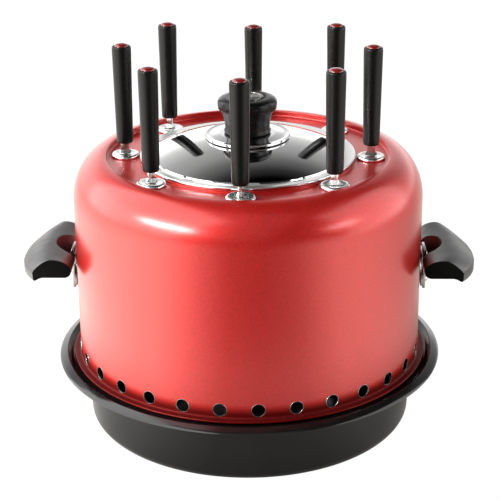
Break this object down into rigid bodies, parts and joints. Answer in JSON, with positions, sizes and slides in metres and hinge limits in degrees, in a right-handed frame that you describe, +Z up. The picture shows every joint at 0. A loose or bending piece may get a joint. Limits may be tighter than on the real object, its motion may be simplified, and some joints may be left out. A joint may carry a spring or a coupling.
{
  "type": "lidded skewer pot set",
  "caption": "Stove-top skewer pot set: a vented drum pot on a drip tray, with a lifting domed lid, side handles and hanging skewers that turn and lift out.",
  "frame": {"origin": "middle of the drip tray's underside, on the surface it stands on", "axes": "+Z up along the pot's axis; +X towards the right-hand handle; -Y towards the front"},
  "size_m": [0.367, 0.3156, 0.3117],
  "materials": {
    "red_pearl_paint": "red pearl gloss paint on spun aluminium",
    "black_enamel": "gloss black enamel",
    "polished_steel": "polished stainless steel",
    "heat_steel": "plain heat-resisting sheet steel",
    "chrome": "bright chrome plate",
    "matte_bakelite": "matte black heat-resisting plastic",
    "satin_black_plastic": "satin black plastic",
    "red_gloss_plastic": "gloss dark red plastic"
  },
  "bodies": {
    "base_tray": {"base_tray": "black_enamel"},
    "heat_radiator": {"heat_radiator": "heat_steel"},
    "pot": {"pot_body": "red_pearl_paint", "left_handle_grip": "matte_bakelite", "left_handle_bracket": "polished_steel", "left_handle_upper_rivet": "polished_steel", "left_handle_lower_rivet": "polished_steel", "left_handle_screw": "polished_steel", "right_handle_grip": "matte_bakelite", "right_handle_bracket": "polished_steel", "right_handle_upper_rivet": "polished_steel", "right_handle_lower_rivet": "polished_steel", "right_handle_screw": "polished_steel"},
    "lid": {"lid": "polished_steel", "lid_saucer": "chrome", "lid_knob": "matte_bakelite", "knob_hub": "chrome", "knob_screw": "polished_steel", "knob_washer": "polished_steel"},
    "disc_1": {"skewer_1_disc": "polished_steel"},
    "skewer_1": {"skewer_1_blade": "polished_steel", "skewer_1_grip": "satin_black_plastic", "skewer_1_plug": "red_gloss_plastic"},
    "disc_2": {"skewer_2_disc": "polished_steel"},
    "skewer_2": {"skewer_2_blade": "polished_steel", "skewer_2_grip": "satin_black_plastic", "skewer_2_plug": "red_gloss_plastic"},
    "disc_3": {"skewer_3_disc": "polished_steel"},
    "skewer_3": {"skewer_3_blade": "polished_steel", "skewer_3_grip": "satin_black_plastic", "skewer_3_plug": "red_gloss_plastic"},
    "disc_4": {"skewer_4_disc": "polished_steel"},
    "skewer_4": {"skewer_4_blade": "polished_steel", "skewer_4_grip": "satin_black_plastic", "skewer_4_plug": "red_gloss_plastic"},
    "disc_5": {"skewer_5_disc": "polished_steel"},
    "skewer_5": {"skewer_5_blade": "polished_steel", "skewer_5_grip": "satin_black_plastic", "skewer_5_plug": "red_gloss_plastic"},
    "disc_6": {"skewer_6_disc": "polished_steel"},
    "skewer_6": {"skewer_6_blade": "polished_steel", "skewer_6_grip": "satin_black_plastic", "skewer_6_plug": "red_gloss_plastic"},
    "disc_7": {"skewer_7_disc": "polished_steel"},
    "skewer_7": {"skewer_7_blade": "polished_steel", "skewer_7_grip": "satin_black_plastic", "skewer_7_plug": "red_gloss_plastic"},
    "disc_8": {"skewer_8_disc": "polished_steel"},
    "skewer_8": {"skewer_8_blade": "polished_steel", "skewer_8_grip": "satin_black_plastic", "skewer_8_plug": "red_gloss_plastic"}
  },
  "joints": [
    {"name": "radiator_lift", "type": "slide", "parent": "base_tray", "child": "heat_radiator", "axis": [0, 0, 1], "range_m": [0, 0.04]},
    {"name": "pot_lift", "type": "slide", "parent": "base_tray", "child": "pot", "axis": [0, 0, 1], "range_m": [0, 0.25]},
    {"name": "lid_lift", "type": "slide", "parent": "pot", "child": "lid", "axis": [0, 0, 1], "range_m": [0, 0.12]},
    {"name": "skewer_1_lift", "type": "slide", "parent": "pot", "child": "disc_1", "axis": [0, 0, 1], "range_m": [0, 0.2]},
    {"name": "skewer_1_turn", "type": "hinge", "parent": "disc_1", "child": "skewer_1", "pos_m": [-0.00274, -0.09806, 0.222], "axis": [0, 0, 1], "continuous": true},
    {"name": "skewer_2_lift", "type": "slide", "parent": "pot", "child": "disc_2", "axis": [0, 0, 1], "range_m": [0, 0.2]},
    {"name": "skewer_2_turn", "type": "hinge", "parent": "disc_2", "child": "skewer_2", "pos_m": [0.0674, -0.07128, 0.222], "axis": [0, 0, 1], "continuous": true},
    {"name": "skewer_3_lift", "type": "slide", "parent": "pot", "child": "disc_3", "axis": [0, 0, 1], "range_m": [0, 0.2]},
    {"name": "skewer_3_turn", "type": "hinge", "parent": "disc_3", "child": "skewer_3", "pos_m": [0.09806, -0.00274, 0.222], "axis": [0, 0, 1], "continuous": true},
    {"name": "skewer_4_lift", "type": "slide", "parent": "pot", "child": "disc_4", "axis": [0, 0, 1], "range_m": [0, 0.2]},
    {"name": "skewer_4_turn", "type": "hinge", "parent": "disc_4", "child": "skewer_4", "pos_m": [0.07128, 0.0674, 0.222], "axis": [0, 0, 1], "continuous": true},
    {"name": "skewer_5_lift", "type": "slide", "parent": "pot", "child": "disc_5", "axis": [0, 0, 1], "range_m": [0, 0.2]},
    {"name": "skewer_5_turn", "type": "hinge", "parent": "disc_5", "child": "skewer_5", "pos_m": [0.00274, 0.09806, 0.222], "axis": [0, 0, 1], "continuous": true},
    {"name": "skewer_6_lift", "type": "slide", "parent": "pot", "child": "disc_6", "axis": [0, 0, 1], "range_m": [0, 0.2]},
    {"name": "skewer_6_turn", "type": "hinge", "parent": "disc_6", "child": "skewer_6", "pos_m": [-0.0674, 0.07128, 0.222], "axis": [0, 0, 1], "continuous": true},
    {"name": "skewer_7_lift", "type": "slide", "parent": "pot", "child": "disc_7", "axis": [0, 0, 1], "range_m": [0, 0.2]},
    {"name": "skewer_7_turn", "type": "hinge", "parent": "disc_7", "child": "skewer_7", "pos_m": [-0.09806, 0.00274, 0.222], "axis": [0, 0, 1], "continuous": true},
    {"name": "skewer_8_lift", "type": "slide", "parent": "pot", "child": "disc_8", "axis": [0, 0, 1], "range_m": [0, 0.2]},
    {"name": "skewer_8_turn", "type": "hinge", "parent": "disc_8", "child": "skewer_8", "pos_m": [-0.07128, -0.0674, 0.222], "axis": [0, 0, 1], "continuous": true}
  ]
}
